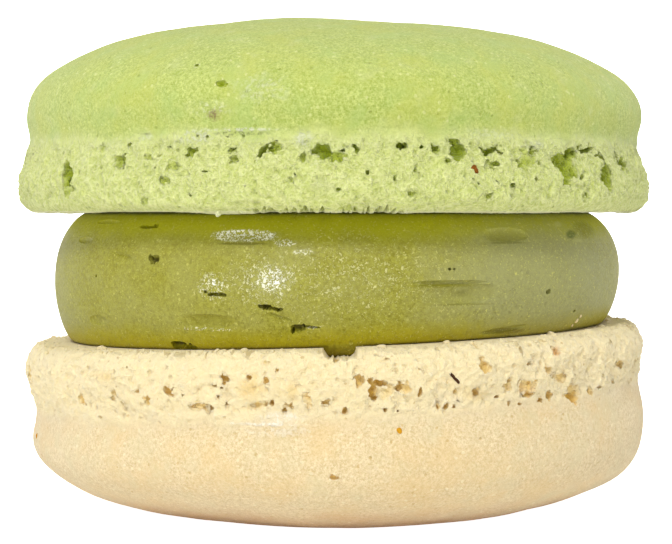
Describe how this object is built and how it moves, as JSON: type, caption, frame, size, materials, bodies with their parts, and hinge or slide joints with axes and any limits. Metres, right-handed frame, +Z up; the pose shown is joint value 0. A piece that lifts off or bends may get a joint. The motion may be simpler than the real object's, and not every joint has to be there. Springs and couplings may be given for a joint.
{
  "type": "french macaron",
  "caption": "Round sandwich biscuit of a pistachio green and a pale vanilla meringue shell, with a thick layer of pistachio cream between them.",
  "frame": {"origin": "on the axis of the macaron, on the small flat spot of the lower dome that it stands on", "axes": "+Z up through the stack, -Y towards the front, +X to the right of someone who looks at the front"},
  "size_m": [0.045, 0.0452, 0.0352],
  "materials": {
    "vanilla_shell": "baked almond meringue, matte, with a smooth skin and an open crumb on the foot",
    "pistachio_cream": "soft buttercream, satin, with fine glittering grains of sugar and smeared air bubbles",
    "pistachio_shell": "baked almond meringue, matte, with a smooth skin and an open crumb on the foot"
  },
  "bodies": {
    "root": {"shell_lower": "vanilla_shell", "cream": "pistachio_cream", "shell_upper": "pistachio_shell"}
  },
  "joints": []
}
